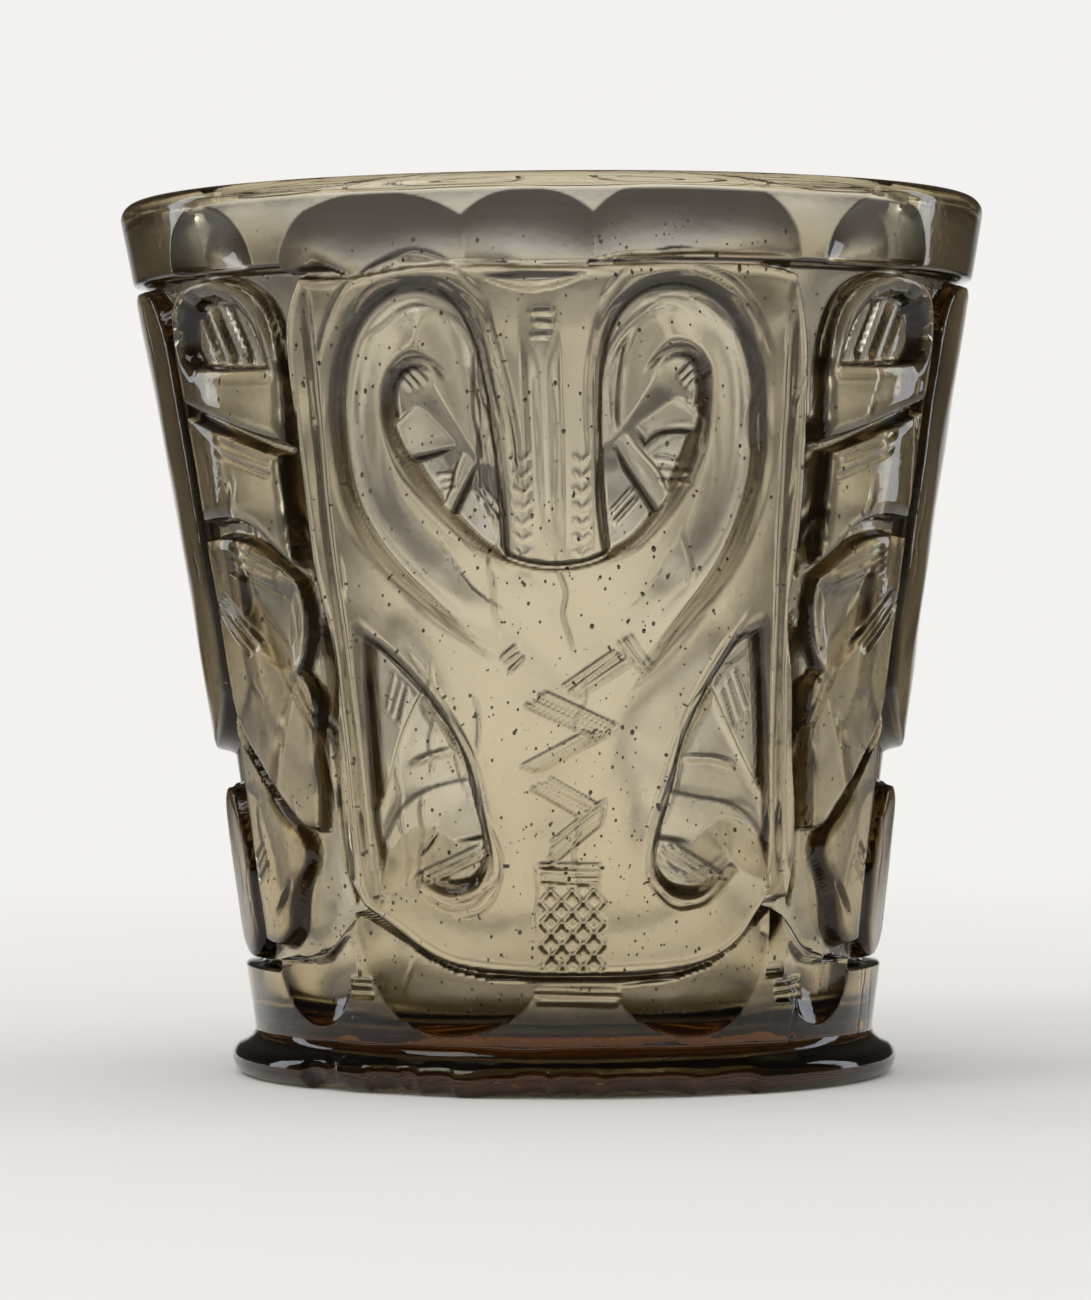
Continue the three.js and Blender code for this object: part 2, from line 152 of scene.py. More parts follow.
def smooth_line(points):
    """A smooth curve through drawn points, or a straight line between two."""
    place = on_sheet(points)
    if len(place) == 2:
        return place
    t = np.concatenate([[0], np.cumsum(np.hypot(*np.diff(place, axis=0).T))])
    at = np.linspace(0, t[-1], int(t[-1] / LINE_STEP) + 2)
    return np.column_stack([spline(t, place[:, 0], at), spline(t, place[:, 1], at)])


def outline(runs):
    """A closed shape of smooth runs that meet at corners."""
    return np.concatenate([smooth_line(run) for run in runs])


def patch(points, pad):
    """The stretch of the map round some points: where it is, and its places on the sheet."""
    low, high = points.min(axis=0) - pad, points.max(axis=0) + pad
    across = np.radians(ANGLES) * SHEET_RADIUS
    rows = np.flatnonzero((HEIGHTS >= low[1]) & (HEIGHTS <= high[1]))
    columns = np.flatnonzero((across >= low[0]) & (across <= high[0]))
    return np.ix_(rows, columns), *np.meshgrid(across[columns], HEIGHTS[rows])


def from_lines(lines, x, y):
    """Distance of each place from the nearest of some lines, and how far along that line it is."""
    distance = np.full(x.shape, np.inf)
    along = np.zeros(x.shape)
    for line in lines:
        for i, (p, q) in enumerate(zip(line[:-1], line[1:])):
            step = q - p
            t = np.clip(((x - p[0]) * step[0] + (y - p[1]) * step[1]) / max(step @ step, 1e-9), 0, 1)
            gap = np.hypot(x - p[0] - t * step[0], y - p[1] - t * step[1])
            closer = gap < distance
            distance = np.where(closer, gap, distance)
            along = np.where(closer, (i + t) / (len(line) - 1), along)
    return distance, along


def within(shape, x, y):
    """Whether each place lies inside a closed shape."""
    inside = np.zeros(x.shape, bool)
    for p, q in zip(shape, np.roll(shape, -1, axis=0)):
        if p[1] != q[1]:
            crossing = (p[1] > y) != (q[1] > y)
            inside ^= crossing & (x < p[0] + (q[0] - p[0]) * (y - p[1]) / (q[1] - p[1]))
    return inside


def raise_figure(runs, top=0.0):
    """Leaves a figure standing out of the cut-back ground, with a rounded shoulder."""
    shape = outline(runs)
    where, x, y = patch(shape, 3)
    distance, _ = from_lines([np.concatenate([shape, shape[:1]])], x, y)
    inward = np.where(within(shape, x, y), distance, -distance)
    steep = 0.82 * ease((inward + 0.5) / 0.9)
    rounded = 0.18 * (1 - (1 - np.clip(inward / 2.2, 0, 1)) ** 2)
    depth[where] = np.minimum(depth[where], top + (RELIEF - top) * (1 - steep - rounded))


def sink_window(runs, soft=None):
    """Cuts a window down to the ground: steep along its runs, but with a gentle slope at its soft run."""
    lines = [smooth_line(run) for run in runs]
    shape = np.concatenate(lines)
    where, x, y = patch(shape, 3)
    distance, _ = from_lines([line for i, line in enumerate(lines) if i != soft], x, y)
    inner = WINDOW_SHOULDER + (RELIEF - WINDOW_SHOULDER) * ease(distance / WINDOW_WALL)
    if soft is not None:
        inner *= ease(from_lines([lines[soft]], x, y)[0] / SILL_WIDTH)
    shoulder = WINDOW_SHOULDER * np.clip(1 - distance / 2.4, 0, 1) ** 2
    depth[where] = np.maximum(depth[where], np.where(within(shape, x, y), inner, shoulder))


def scoop(runs, deep, reach, dark=0.0):
    """A hollow facet with a crisp edge, with shade painted inside it where asked."""
    shape = outline(runs)
    where, x, y = patch(shape, 1)
    distance, _ = from_lines([np.concatenate([shape, shape[:1]])], x, y)
    bowl = 1 - (1 - np.clip(distance / reach, 0, 1)) ** 2
    depth[where] += np.where(within(shape, x, y), deep * bowl, 0)
    painted_cut_shade[where] = np.maximum(painted_cut_shade[where], np.where(within(shape, x, y), dark * ease(distance / 2), 0))


def groove(points, width, deep, taper=2.0, dark=0.0):
    """A wheel-cut line, fading at its ends, with painted shade along it where asked."""
    line = smooth_line(points)
    length = np.hypot(*np.diff(line, axis=0).T).sum()
    where, x, y = patch(line, width)
    distance, along = from_lines([line], x, y)
    ends = ease(np.minimum(along, 1 - along) * length / taper + 0.15)
    profile = ends * np.clip(1 - (2 * distance / width) ** 2, 0, 1)
    depth[where] += deep * profile
    painted_cut_shade[where] = np.maximum(painted_cut_shade[where], dark * profile)


def slot(points, width, deep):
    """A deep cut with straight sloping sides, narrowing towards its ends, painted dark inside as shade."""
    line = smooth_line(points)
    where, x, y = patch(line, width)
    distance, along = from_lines([line], x, y)
    half = width / 2 * ease(np.minimum(along, 1 - along) * 5 + 0.1)
    depth[where] += deep * np.clip(1 - distance / half, 0, 1)
    painted_cut_shade[where] = np.maximum(painted_cut_shade[where], ease(2 * (1 - distance / half)))


def hatch(start, stop, to, count):
    """A group of parallel wheel-cut lines: the first from start to stop, the last one's start at `to`."""
    shift = np.array(to, float) - np.array(start, float)
    for i in range(count):
        move = shift * i / max(count - 1, 1)
        slip = rng.uniform(-0.25, 0.25, 4).reshape(2, 2)
        deep = HATCH_DEPTH * rng.uniform(0.75, 1.2)
        # Each line carries a little painted shade.
        groove(np.array([start, stop]) + move + slip, HATCH_WIDTH, deep, taper=1.0, dark=0.3)


def ground():
    """The wall cut back between the rim band and the base band."""
    z = HEIGHTS[:, None]
    cut = ease((z - RELIEF_LOW) / 0.9) * ease((RELIEF_HIGH - z) / 0.9)
    depth[:] = RELIEF * cut


# Panel, as in the CAD part: a stem that opens into two arms, framed by columns

LEFT_LOOP = [
    (-7.2, 58.6), (-7.6, 70), (-8.2, 77), (-9.3, 86), (-11.2, 92), (-14, 95.4), (-18.5, 96.8),
    (-23.5, 95.4), (-28, 91.2), (-30.8, 85), (-32, 76), (-31.4, 69),
]
RIGHT_LOOP = [
    (7.2, 59), (6.3, 66), (5.8, 74), (5.7, 80), (6.1, 86.5), (7.6, 91.6), (10.8, 95.4), (16.5, 97.1),
    (22, 95.4), (26, 91.6), (28.6, 86), (29.6, 79), (30, 72), (29.5, 68),
]
LEFT_TAIL = [(-31.4, 69), (-30, 64.5), (-27, 60), (-23, 55.8), (-18, 51.5), (-13, 47.5), (-9.2, 44.6)]
RIGHT_TAIL = [(29.5, 68), (28, 63), (25.5, 58), (22, 53.3), (18, 48.7), (14.5, 44.6), (11, 41)]
LEFT_ARM = [(-22, 73.3), (-19.8, 69.5), (-17, 66), (-14, 62.9), (-10.8, 60.2), (-7.2, 58.6)]
RIGHT_ARM = [(20.4, 75), (19, 71.2), (16.8, 67), (14, 63.2), (10.8, 60.4), (7.2, 59)]
LEFT_EYE = [(-14.5, 83.5), (-16.4, 85.6), (-19, 86.2), (-22.4, 84.6), (-24, 81), (-22, 73.3)]
RIGHT_EYE = [(12.5, 84.5), (14.6, 86.7), (17, 87.6), (20, 86.6), (21.3, 83.5), (20.4, 75)]
PANEL_EDGE = [
    [
        (-36, 10), (-38.6, 14), (-38.6, 30), (-37.8, 50), (-38.9, 57), (-39.2, 75), (-39.3, 86), (-38, 94),
        (-35.5, 98.3),
    ],
    [
        (-35.5, 98.3), (-29, 97.9), (-20, 99), (-10, 99.3), (0, 98.8), (8, 99.2), (18, 99.5), (28, 99.4),
        (34, 98.3),
    ],
    [(34, 98.3), (36.5, 90), (37.8, 79), (38.1, 58), (37.6, 53), (39, 44), (41, 30), (43, 16), (42, 11)],
    [
        (42, 11), (37.5, 10.6), (33, 6.2), (27, 2.8), (18, 1.2), (8, 0.8), (-5, 0.9), (-14, 1.3), (-21, 2.5),
        (-29, 6.3), (-36, 10),
    ],
]
LEFT_WINDOW = [
    (-31.4, 48.7), (-27, 45.6), (-23.5, 42.4), (-18, 36.2), (-15.4, 31.2), (-13.4, 23.5), (-12.5, 17.2),
    (-15.6, 13.6), (-19.6, 13.4), (-24, 15.2),
]
RIGHT_WINDOW = [
    (32.8, 49.6), (29, 47.8), (26, 44.2), (21, 36), (18.6, 28.5), (16.2, 20.4), (15.8, 15.6), (19, 12.7),
    (24, 12.5), (29, 16.2),
]
LEFT_SILL = [(-24, 15.2), (-27.5, 12.6), (-32, 11.6)]
RIGHT_SILL = [(29, 16.2), (33, 14), (37.6, 12.6)]

# Low figures inside the windows, drawn up to the walls round them
LOW_FIGURES = [
    [
        [(-14, 82.8), (-16.5, 82), (-18.8, 80.9), (-21.3, 79.2), (-23.6, 77.4)],
        [(-23.6, 77.4), (-22.6, 72.4)],
        [(-22.6, 72.4), (-19.1, 73.1), (-16.3, 73.7), (-14, 74.2)],
        [(-14, 74.2), (-11.7, 76.1), (-9.8, 79.3), (-8.6, 82.5)],
        [(-8.6, 82.5), (-14, 82.8)],
    ],
    [
        [(-8.2, 77.4), (-10.6, 72.8), (-13.3, 68.4), (-15.9, 63.9)],
        [(-15.9, 63.9), (-17.6, 65.4)],
        [(-17.6, 65.4), (-16.1, 67.6), (-14.7, 71.3), (-12.9, 74.6), (-10.6, 77.4)],
        [(-10.6, 77.4), (-8.2, 77.4)],
    ],
    [
        [(-22.6, 40.6), (-25.4, 36.7), (-26.8, 34.5), (-29.5, 28.7), (-32.4, 23)],
        [(-32.4, 23), (-32.4, 17.6)],
        [(-32.4, 17.6), (-29.5, 21.8), (-26, 25), (-21.7, 26.8), (-14.4, 28.2)],
        [(-14.4, 28.2), (-16, 32.4), (-19, 36.8), (-22.6, 40.6)],
    ],
    [
        [(7, 82.5), (14.1, 83.2), (16.3, 82), (19, 80.6), (21.4, 79)],
        [(21.4, 79), (20.8, 76.2)],
        [(20.8, 76.2), (16.6, 76.4), (14.4, 75.8), (13, 74.6)],
        [(13, 74.6), (10.6, 77), (8.2, 79.5), (7, 82.5)],
    ],
    [
        [(6.2, 77), (7.9, 74.9), (10.1, 71.5), (12.8, 67.9), (15.6, 63.9)],
        [(15.6, 63.9), (17.2, 66)],
        [(17.2, 66), (15.4, 70.6), (12.7, 73.5), (10, 76.9)],
        [(10, 76.9), (6.2, 77)],
    ],
    [
        [(25.2, 41), (29.3, 34.7), (32.9, 29.9), (36.4, 25.4)],
        [(36.4, 25.4), (37, 19)],
        [(37, 19), (33.6, 22.4), (29.6, 24.4), (23.5, 25.4), (17.4, 26.6)],
        [(17.4, 26.6), (19.4, 32), (22, 37), (25.2, 41)],
    ],
]
LOBES = [
    [
        [(-32.6, 21), (-26, 30), (-14.4, 31)],
        [(-14.4, 31), (-13.4, 23.5), (-12.8, 20.4)],
        [(-12.8, 20.4), (-18.4, 19.2), (-20.7, 18.5), (-23.2, 17.2), (-25.6, 14.6)],
        [(-25.6, 14.6), (-28, 12.4), (-32.6, 11.4)],
        [(-32.6, 11.4), (-32.6, 21)],
    ],
    [
        [(17.4, 29), (27, 29.6), (37, 22.4)],
        [(37, 22.4), (37.8, 12.4)],
        [(37.8, 12.4), (33.4, 14.4), (30.2, 16)],
        [(30.2, 16), (24.5, 18.3), (20.2, 19.6), (15.8, 20.2)],
        [(15.8, 20.2), (17.4, 29)],
    ],
]


def sink_curl(loop, tail):
    """Steps down inside a loop, deepest along its line, and dies out along the tail into the body."""
    line = np.concatenate([smooth_line(loop), smooth_line(tail)[1:]])
    loop_share = len(smooth_line(loop)) / len(line)
    where, x, y = patch(line, 3)
    distance, along = from_lines([line], x, y)
    fade = 1 - 0.5 * ease((along - loop_share) / (1 - loop_share))
    fade *= ease((1 - along) * 12) * ease(along * 14)
    inner = CURL_DROP * (0.25 + 0.75 * ease(distance / 1.1)) * (1 - ease((distance - 1.3) / 8))
    shoulder = 0.45 * np.clip(1 - distance / 2.2, 0, 1) ** 2
    depth[where] = np.maximum(depth[where], fade * np.where(within(line, x, y), inner, shoulder))


def panel():
    raise_figure(PANEL_EDGE)
    sink_curl(LEFT_LOOP, LEFT_TAIL)
    sink_curl(RIGHT_LOOP, RIGHT_TAIL)
    for loop, eye, arm, top in ((LEFT_LOOP, LEFT_EYE, LEFT_ARM, 3), (RIGHT_LOOP, RIGHT_EYE, RIGHT_ARM, 4)):
        stem_side = loop[:top]
        sink_window([eye, arm, stem_side, [stem_side[-1], eye[0]]], 3)
    sink_window([LEFT_WINDOW, LEFT_SILL, [(-32, 11.6), (-32.4, 30), (-31.4, 48.7)]], 1)
    sink_window([RIGHT_WINDOW, RIGHT_SILL, [(37.6, 12.6), (35.6, 33), (32.8, 49.6)]], 1)
    for runs in LOW_FIGURES:
        raise_figure(runs, RELIEF - LOW_RELIEF)
    for runs in LOBES:
        raise_figure(runs, RELIEF - LOBE_RELIEF)


# Tool marks on the panel: first line's ends, the last line's start, and how many lines

PANEL_HATCHES = [
    ((0.4, 40.9), (9, 46.2), (2.6, 39.4), 4),
    ((-2.4, 40.6), (9, 35.6), (-5.2, 38.8), 4),
    ((7.8, 34.8), (-3.6, 29.2), (5, 35.4), 4),
    ((-2, 28.7), (6.4, 24.6), (-4.6, 27.2), 4),
    ((7.2, 25.7), (-1.9, 19.2), (6.9, 22.6), 4),
    ((-3.8, 16.6), (6.5, 16.2), (-3.8, 14.4), 4),
    ((-8.9, 45), (-6, 47), (-7.9, 43.4), 3),
    ((8.9, 47.8), (12.8, 43), (10.8, 48.4), 3),
    ((-3, 92.7), (0, 92.7), (-3, 89.5), 3),
    ((-22.6, 85), (-19.9, 82.4), (-20.1, 85.6), 3),
    ((20.1, 86.3), (16.9, 83.4), (22, 85.4), 3),
    ((-18, 70.4), (-15.2, 70.6), (-17, 68.4), 3),
    ((14.4, 72.6), (18.8, 72.3), (15, 69.6), 3),
    ((-12.6, 68.8), (-8.6, 64.2), (-11.2, 69.2), 2),
    ((7.8, 65.2), (11.7, 68.8), (8.4, 63.9), 2),
    ((-27.4, 43), (-29.8, 37.6), (-25.4, 41), 3),
    ((29.6, 43.4), (32.6, 37.6), (27.4, 40.6), 3),
    ((-24.4, 14.6), (-14.1, 19), (-22, 13.9), 3),
    ((17.3, 18.8), (26, 13.6), (19.8, 19.2), 3),
    ((-5, -0.6), (10, -0.8), (-5, -3), 4),
    ((-40.5, -0.2), (-35.2, -0.2), (-40.5, -2.4), 3),
    ((40, -0.8), (48, -0.8), (40, -3.2), 3),
]
WINDOW_RIDGES = [
    [(-25.2, 30.1), (-21.9, 31.4), (-17, 32.4)],
    [(19.8, 31.1), (24.9, 31.1), (27.8, 30.6), (29.8, 29.7)],
    [(-24, 17.6), (-21, 21.8)],
]
COLUMN_SPLITS = [
    [(-34.2, 97), (-34.6, 80), (-35, 60), (-34.4, 48), (-34, 30), (-33.8, 12)],
    [(-37, 52), (-36.6, 30), (-36.8, 12)],
    [(33.2, 96), (34, 80), (34.6, 62), (35.4, 48), (37, 30), (39, 12)],
    [(37.2, 50), (39, 32), (41.2, 14)],
]
SLOTS = [
    [(-41, 76), (-41, 66), (-41, 56)],
    [(-40.2, 52), (-40, 38), (-40.2, 24), (-39.6, 10)],
    [(40.2, 79), (40.4, 68), (40.6, 56)],
    [(40.2, 52), (42.2, 38), (44, 24), (45.4, 9)],
]
FROND_VALLEY = [(-1.9, 94), (-1.6, 80), (-1.4, 58)]
FROND_FOOT = [(-9, 60), (-5, 58.4), (0, 57.8), (5, 58.5), (9, 60.2)]
LATTICE_LINES = 7
LATTICE_SIDES = (-4, 7.4)
LATTICE_ENDS = (1.2, 13.6)
LATTICE_RISE = 9.5
LENS = [
    [(-9.4, 97.6), (-3, 98.2), (4.6, 97.8)],
    [(4.6, 97.8), (0, 95.9), (-5, 95.8), (-9.4, 97.6)],
]


def lattice():
    """The cross-hatched field at the foot of the stem."""
    left, right = LATTICE_SIDES
    for i in range(LATTICE_LINES):
        low = 11 - 3 * i
        for start, stop in ((low, low + LATTICE_RISE), (low + LATTICE_RISE, low)):
            ends = np.array([(left, start), (right, stop)])
            slope = (ends[1] - ends[0]) / (stop - start)
            kept = [end + slope * (np.clip(end[1], *LATTICE_ENDS) - end[1]) for end in ends]
            if abs(kept[0][1] - kept[1][1]) > 1:
                # Each lattice line carries a little painted shade.
                groove(np.array(kept), HATCH_WIDTH, 0.32, taper=1.0, dark=0.2)


def feather(centre, low, high, count):
    """A column of small herringbone strokes."""
    for h in np.linspace(low, high, count):
        for side in (-1, 1):
            groove([(centre, h), (centre + 1.3 * side, h + 1.3)], HATCH_WIDTH, 0.2, taper=0.8)


def panel_marks():
    for start, stop, to, count in PANEL_HATCHES:
        hatch(start, stop, to, count)
    lattice()
    groove(FROND_VALLEY, width=5.5, deep=0.9, taper=14)
    groove(FROND_FOOT, width=1.3, deep=1.1, taper=1.5)
    for centre in (-4.8, 3.6):
        feather(centre, low=59, high=72, count=7)
    for line in WINDOW_RIDGES:
        groove(line, width=1.3, deep=0.5, taper=3)
    for line in COLUMN_SPLITS:
        groove(line, width=1.8, deep=0.6, taper=14)
    scoop(LENS, deep=1.0, reach=1.2)
    # Painted shade along the loops, eyes, arms, windows and tails.
    for line in (LEFT_LOOP, RIGHT_LOOP, LEFT_EYE, RIGHT_EYE, LEFT_ARM, RIGHT_ARM):
        groove(line, width=1.0, deep=0.2, taper=2, dark=0.85)
    for line in (LEFT_WINDOW, RIGHT_WINDOW):
        groove(line, width=1.7, deep=0.3, taper=5, dark=1.0)
    for line in (LEFT_TAIL, RIGHT_TAIL):
        groove(line, width=1.0, deep=0.25, taper=6, dark=0.5)
    for line in SLOTS:
        slot(line, width=4.4, deep=2.4)


# Flank and side figures, drawn for the right of a panel: an animal's crest with a window, its chest and body

CREST = [
    [(41.6, 75.4), (46.8, 76.5), (52, 77.9), (57, 79.3), (66, 81.6)],
    [(66, 81.6), (66, 90)],
    [
        (66, 90), (64.8, 94.2), (61, 97.6), (55, 98.8), (48, 98.4), (43, 95.8), (40.8, 91), (40.4, 84),
        (41.6, 75.4),
    ],
]
CREST_EYE = [
    [(43, 85.4), (52, 85.7), (60.5, 86.3)],
    [
        (60.5, 86.3), (63.2, 89), (62.3, 92.8), (59, 95.6), (54.3, 96.8), (49.5, 95.9), (45.3, 92.4),
        (43, 85.4),
    ],
]
CHEST = [
    [(42.6, 73.8), (42.6, 58)],
    [(42.6, 58), (46.8, 60.6), (49.6, 62.8), (54.2, 64.6), (60, 65), (66, 64.6)],
    [(66, 64.6), (66, 80.2)],
    [(66, 80.2), (57, 77.9), (52, 76.5), (47, 75), (42.6, 73.8)],
]
BODY = [
    [(66, 62.2), (60, 62.6), (54.2, 62), (49.6, 60.4), (46.8, 58.8), (42.4, 56.4)],
    [(42.4, 56.4), (41.4, 52.4), (42.7, 46.6), (45.6, 42)],
    [(45.6, 42), (50.5, 33), (55, 25.5)],
    [(55, 25.5), (52, 22.8), (48.4, 19.8), (47.6, 17.3), (51.3, 12.9), (54.6, 6.2)],
    [(54.6, 6.2), (58, 4.2), (66, 4)],
    [(66, 4), (66, 62.2)],
]
FLANK_FACET = [
    [(42, 51.6), (42.8, 55.4), (48.7, 56.4), (55.9, 58.3)],
    [(55.9, 58.3), (55.6, 50.8), (51.4, 45.3), (45.8, 43), (43, 46.6), (42, 51.6)],
]
APRON = [
    [(46.4, 44), (43.2, 42), (43, 34), (43.4, 26), (44.4, 21)],
    [(44.4, 21), (48.4, 21), (52, 23.6), (56, 26)],
    [(56, 26), (52, 33), (46.4, 44)],
]
APRON_DROP = 0.4
SPANDREL = [
    [(37, 9.2), (40.6, 6.8), (45, 4), (51, 2.8)],
    [(51, 2.8), (51, 0.5)],
    [(51, 0.5), (28.5, 0.5)],
    [(28.5, 0.5), (28.5, 2.8)],
    [(28.5, 2.8), (32.5, 4.8), (37, 9.2)],
]
SHIELD = [
    [(67.5, 40), (67.4, 88)],
    [
        (67.4, 88), (68.6, 94), (73, 97.8), (81, 98.8), (90, 99), (99, 98.7), (107, 97.6), (111.6, 93.8),
        (112.6, 88),
    ],
    [(112.6, 88), (112.5, 41)],
    [(112.5, 41), (106, 35), (98, 32.2), (89, 31.2), (80, 32), (73, 34.6), (67.5, 40)],
]
SIDE_LOBE = [
    [
        (68.5, 6), (72, 2.2), (80, 1.4), (86, 4.5), (88, 11), (85.5, 20), (79.5, 26), (73, 25), (69, 17),
        (68.5, 6),
    ],
]
FLANK_HATCHES = [
    ((57.6, 61), (45.6, 57.2), (58.4, 57.6), 4),
    ((66, 53.3), (55.4, 45.7), (62, 54.6), 4),
    ((48.1, 43.4), (42.4, 34), (46.6, 43.6), 2),
    ((65.4, 14.9), (60, 18.5), (64.6, 12.4), 3),
    ((57, 10), (52.5, 13.4), (59, 8), 4),
    ((44.4, 72.6), (57, 76.4), (44.4, 70.6), 2),
]
COMB = [(65.4, 38.4), (63.4, 34.2), (58.6, 29.6), (55, 26)]
COMB_STROKES = 10
CREST_BARS = 4

# The panel's right column leans out at its foot and pushes its flank aside, but not the flank's far edge
COLUMN_LEAN = 4
LEAN_TOP = 57
FLANK_NEAR = 40
FLANK_FAR = 66


def leaned(degrees, h):
    return degrees + COLUMN_LEAN * max(0, 1 - h / LEAN_TOP) * (FLANK_FAR - degrees) / (FLANK_FAR - FLANK_NEAR)


def mirrored(degrees, h):
    return -degrees


def flank(place):
    def drawn(points):
        return [(place(d, h), h) for d, h in points]

    for runs in (CREST, CHEST, BODY, SPANDREL):
        raise_figure([drawn(run) for run in runs])
    sink_window([drawn(run) for run in CREST_EYE])
    for start in np.linspace(49, 60, CREST_BARS):
        # The crest's bars carry painted shade.
        groove(drawn([(start, 97), (start - 4.4, 86.4)]), width=1.5, deep=1.0, taper=3, dark=0.7)
    raise_figure([drawn(run) for run in APRON], APRON_DROP)
    # The facet is painted dark as shade.
    scoop([drawn(run) for run in FLANK_FACET], deep=1.7, reach=5, dark=0.6)
    for start, stop, to, count in FLANK_HATCHES:
        hatch(*drawn([start, stop, to]), count)
    # The comb strokes carry painted shade.
    curve = np.array(COMB)
    for t in np.linspace(0, len(COMB) - 1, COMB_STROKES):
        i = min(int(t), len(COMB) - 2)
        start = curve[i] + (curve[i + 1] - curve[i]) * (t - i)
        groove(drawn([start + (2, 2.6), start - (1, 1.2)]), width=1.4, deep=0.6, taper=1, dark=0.6)


def sides():
    for sign in (-1, 1):
        raise_figure([[(sign * d, h) for d, h in run] for run in SHIELD])
        raise_figure([[(sign * d, h) for d, h in run] for run in SIDE_LOBE])


# Hollows in the plain bands: centre and half width in degrees, far edge's height, depth, and near edge

HOLLOWS = [
    (-23, 15, 136, 2.4, [(-36, 126), (-33, 127.5), (-28, 124.8), (-22, 126), (-10, 126.6)]),
    (-3, 11, 136, 2.2, [(-12, 126.5), (-3, 126), (6, 126.2)]),
    (18, 15.5, 138, 2.4, [(4, 126), (9, 127.3), (20, 128), (32, 127.8)]),
    (-51.5, 9, 135.5, 2.2, [(-61, 127.4), (-42, 126.8)]),
    (48, 10, 136.5, 2.2, [(38, 127.2), (58, 127.6)]),
    (-21, 16.5, 10.3, 2.0, [(-37, 28), (-30, 24.4), (-25, 21.5), (-20, 19.5), (-13, 18.2), (-4, 17.8)]),
    (23.5, 14.5, 10.3, 2.0, [(9, 17.2), (20, 18), (27, 20), (32, 23), (36, 27), (38, 29)]),
    (-49, 11, 10.8, 1.8, [(-60, 20), (-50, 19.6), (-46, 20.2), (-40, 24)]),
    (52, 10, 10.8, 1.8, [(42, 23), (47, 20), (53, 19.4), (62, 20)]),
]


def past_edge(far, near_edge, degrees):
    """How far each place lies past a hollow's near edge, and the hollow's reach there."""
    edge = np.interp(degrees, *np.array(near_edge, float).T)
    return (HEIGHTS[:, None] - edge) * np.sign(far - edge), np.abs(far - edge) + 1


def band_hollows():
    """Rounded wheel cuts, each from a crisp near edge where it is deepest to an arched far edge."""
    for centre, half, far, _, near_edge in HOLLOWS:
        columns = np.flatnonzero(np.abs(ANGLES - centre) < half)
        rise, _ = past_edge(far, near_edge, ANGLES[columns])
        depth[:, columns] = np.where(rise > 0, 0, depth[:, columns])
    for centre, half, far, deep, near_edge in HOLLOWS:
        columns = np.flatnonzero(np.abs(ANGLES - centre) < half)
        degrees = ANGLES[columns]
        rise, reach = past_edge(far, near_edge, degrees)
        bowl = 1 - ((degrees - centre) / half) ** 2 - (np.maximum(rise, 0) / reach) ** 2
        cut = deep * np.clip(bowl, 0, 1) ** 0.85 * ease((rise + 0.6) / 0.9)
        depth[:, columns] = np.where(rise > -0.6, np.maximum(cut, depth[:, columns]), depth[:, columns])


def repeat_at_back():
    """The back has the front's carving and its painted shade."""
    back = ANGLES >= 90
    front = ANGLES[~back]
    for row in (*depth, *painted_cut_shade):
        row[back] = np.interp(ANGLES[back] - 180, front, row[~back])


def waves(z, count, finest):
    """Slow unevenness of a blown and polished surface, within about -1 to 1."""
    angle = np.radians(ANGLES)
    height = z[:, None] / SHEET_RADIUS
    total = np.zeros((len(z), len(ANGLES)))
    for _ in range(count):
        round_, up, phase = rng.integers(2, finest), rng.uniform(-finest, finest), rng.uniform(0, 2 * np.pi)
        total += np.cos(round_ * angle + up * height + phase)
    return total / math.sqrt(count)


def faint_line(points):
    # Painted shade along each faint line.
    groove(points, rng.uniform(0.6, 1.0), rng.uniform(0.12, 0.26), taper=4, dark=rng.uniform(0.2, 0.6))


def wheel_streaks(curve, count):
    """Wavering lines that follow a curve of the panel, nearer to its middle or farther out."""
    points = np.array(curve)
    middle = points.mean(axis=0)
    for _ in range(count):
        first = rng.integers(0, len(points) - 3)
        run = points[first : first + 4]
        wander = rng.normal(0, 0.45, run.shape)
        line = middle + (run - middle) * rng.uniform(0.72, 1.3) + wander
        faint_line(line)


def streaks(count):
    """Thin wavering lines that run down the glass."""
    for _ in range(count):
        steps = rng.integers(4, 8)
        down = rng.uniform(0, 100) - np.cumsum(rng.uniform(1.5, 4, steps))
        across = rng.uniform(-170, 260) + np.cumsum(rng.normal(0, 0.7, steps))
        faint_line(np.column_stack([across, down]))


ground()
panel()
for place in (mirrored, leaned):
    flank(place)
sides()
band_hollows()
panel_marks()
for curve in (LEFT_LOOP, RIGHT_LOOP, LEFT_WINDOW, RIGHT_WINDOW):
    wheel_streaks(curve, 20)
repeat_at_back()
streaks(130)
depth += WAVES * waves(HEIGHTS, 14, 26)


# Glass body


def arc(centre_r, centre_z, radius, start, stop, steps):
    angle = np.radians(np.linspace(start, stop, steps))
    return list(zip(centre_r + radius * np.cos(angle), centre_z + radius * np.sin(angle)))


def foot_profile():
    bead = FOOT_RADIUS - FOOT_BEAD
    return [
        *((r, RECESS_DEPTH) for r in np.linspace(4, RECESS_RADIUS - RECESS_DEPTH, 8)),
        *((r, 0.0) for r in np.linspace(RECESS_RADIUS, bead - 1, 12)),
        *arc(bead, FOOT_BEAD, FOOT_BEAD, -90, 55, 26),
        (WALL_FOOT_RADIUS + 1.2, FOOT_HEIGHT - 2.0),
        (WALL_FOOT_RADIUS + 0.45, FOOT_HEIGHT - 1.3),
        (WALL_FOOT_RADIUS + 0.1, FOOT_HEIGHT - 0.6),
    ]


def lip_profile():
    return [
        *arc(RIM_RADIUS - LIP_ROUND, LIP_Z, LIP_ROUND, 14, 90, 8),
        *arc(BORE_RIM + LIP_ROUND, LIP_Z, LIP_ROUND, 90, 180, 9),
    ]


